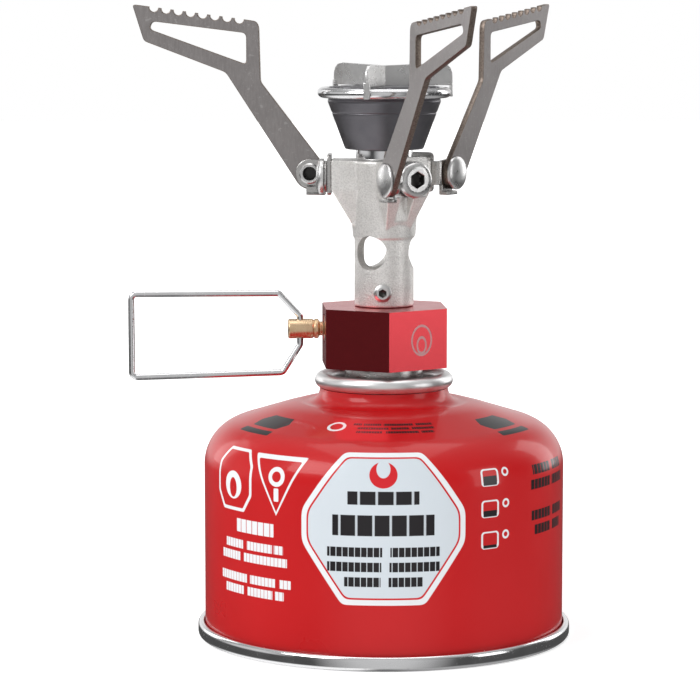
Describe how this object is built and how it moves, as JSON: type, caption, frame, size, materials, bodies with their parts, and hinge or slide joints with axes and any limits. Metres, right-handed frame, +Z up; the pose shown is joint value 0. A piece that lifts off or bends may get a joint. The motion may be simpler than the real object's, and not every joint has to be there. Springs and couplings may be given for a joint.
{
  "type": "camping stove",
  "caption": "Canister-top folding gas stove with swivelling serrated pot supports, needle valve with wire handle, and screw-on gas canister.",
  "frame": {"origin": "centre of the whole object's bounding box, at the canister's foot", "axes": "+Z up along the canister and burner axis; -Y towards the side with the front pot support; the valve handle points to -X"},
  "size_m": [0.1104, 0.1098, 0.1574],
  "materials": {
    "red_lacquer": "glossy printed lacquer",
    "tinplate": "bright tin coating",
    "red_anodised": "satin anodised",
    "cast_metal": "bead-blasted casting",
    "stainless_sheet": "brushed, deburred",
    "heat_dark_steel": "heat-darkened satin",
    "polished_wire": "polished",
    "machined_brass": "turned",
    "black_rubber": "matt",
    "white_plastic": "matt"
  },
  "bodies": {
    "canister": {"canister_body": "red_lacquer", "canister_base": "tinplate", "valve_cup": "tinplate", "cup_gasket": "black_rubber", "valve_housing": "white_plastic", "stem_gasket": "black_rubber", "valve_spring": "stainless_sheet"},
    "stem": {"valve_stem": "machined_brass"},
    "stove": {"valve_block": "red_anodised", "threaded_connector": "stainless_sheet", "connector_oring": "black_rubber", "depressor_pin": "machined_brass", "gas_filter": "machined_brass", "gas_jet": "machined_brass", "valve_gland": "machined_brass", "burner_body": "cast_metal", "lock_screw": "stainless_sheet", "burner_neck": "tinplate", "burner_cup": "heat_dark_steel", "burner_ring": "polished_wire", "flame_plate": "heat_dark_steel", "wind_clip": "stainless_sheet", "pivot_screw_left": "tinplate", "pivot_washer_left": "stainless_sheet", "pivot_screw_front": "tinplate", "pivot_washer_front": "stainless_sheet", "pivot_screw_back": "tinplate", "pivot_washer_back": "stainless_sheet"},
    "spindle": {"needle_spindle": "machined_brass", "spindle_knob": "machined_brass", "spindle_oring": "black_rubber"},
    "handle": {"wire_handle": "polished_wire"},
    "bracket_left": {"swivel_bracket_left": "stainless_sheet", "pivot_rivet_left": "tinplate"},
    "support_left": {"pot_support_left": "stainless_sheet"},
    "bracket_front": {"swivel_bracket_front": "stainless_sheet", "pivot_rivet_front": "tinplate"},
    "support_front": {"pot_support_front": "stainless_sheet"},
    "bracket_back": {"swivel_bracket_back": "stainless_sheet", "pivot_rivet_back": "tinplate"},
    "support_back": {"pot_support_back": "stainless_sheet"}
  },
  "joints": [
    {"name": "stove_lift", "type": "slide", "parent": "canister", "child": "stove", "axis": [0, 0, 1], "range_m": [0, 0.02]},
    {"name": "stem_press", "type": "slide", "parent": "canister", "child": "stem", "axis": [0, 0, -1], "range_m": [0, 0.0012], "stiffness_N_per_m": 1500, "springref_m": -0.003, "deforming": ["valve_spring"]},
    {"name": "valve_turn", "type": "hinge", "parent": "stove", "child": "spindle", "pos_m": [-0.01156, 0.00548, 0.07715], "axis": [-0.998, -0.0628, 0], "range_deg": [0, 720]},
    {"name": "handle_swing", "type": "hinge", "parent": "spindle", "child": "handle", "pos_m": [-0.01256, 0.00542, 0.07715], "axis": [0, 0, -1], "range_deg": [-100, 100]},
    {"name": "bracket_swivel_left", "type": "hinge", "parent": "stove", "child": "bracket_left", "pos_m": [-0.0066, 0.00713, 0.115], "axis": [0.9997, -0.0262, 0], "range_deg": [0, 180]},
    {"name": "support_fold_left", "type": "hinge", "parent": "bracket_left", "child": "support_left", "pos_m": [-0.01006, 0.01642, 0.1153], "axis": [0.0872, 0.9962, 0], "range_deg": [0, 25]},
    {"name": "bracket_swivel_front", "type": "hinge", "parent": "stove", "child": "bracket_front", "pos_m": [0.01555, -0.00645, 0.115], "axis": [-0.4772, 0.8788, 0], "range_deg": [0, 180]},
    {"name": "support_fold_front", "type": "hinge", "parent": "bracket_front", "child": "support_front", "pos_m": [0.00923, -0.01409, 0.1153], "axis": [-0.9063, -0.4226, 0], "range_deg": [0, 25]},
    {"name": "bracket_swivel_back", "type": "hinge", "parent": "stove", "child": "bracket_back", "pos_m": [0.01623, 0.01953, 0.115], "axis": [-0.5225, -0.8526, 0], "range_deg": [0, 180]},
    {"name": "support_fold_back", "type": "hinge", "parent": "bracket_back", "child": "support_back", "pos_m": [0.02601, 0.01787, 0.1153], "axis": [0.8192, -0.5736, 0], "range_deg": [0, 25]}
  ]
}
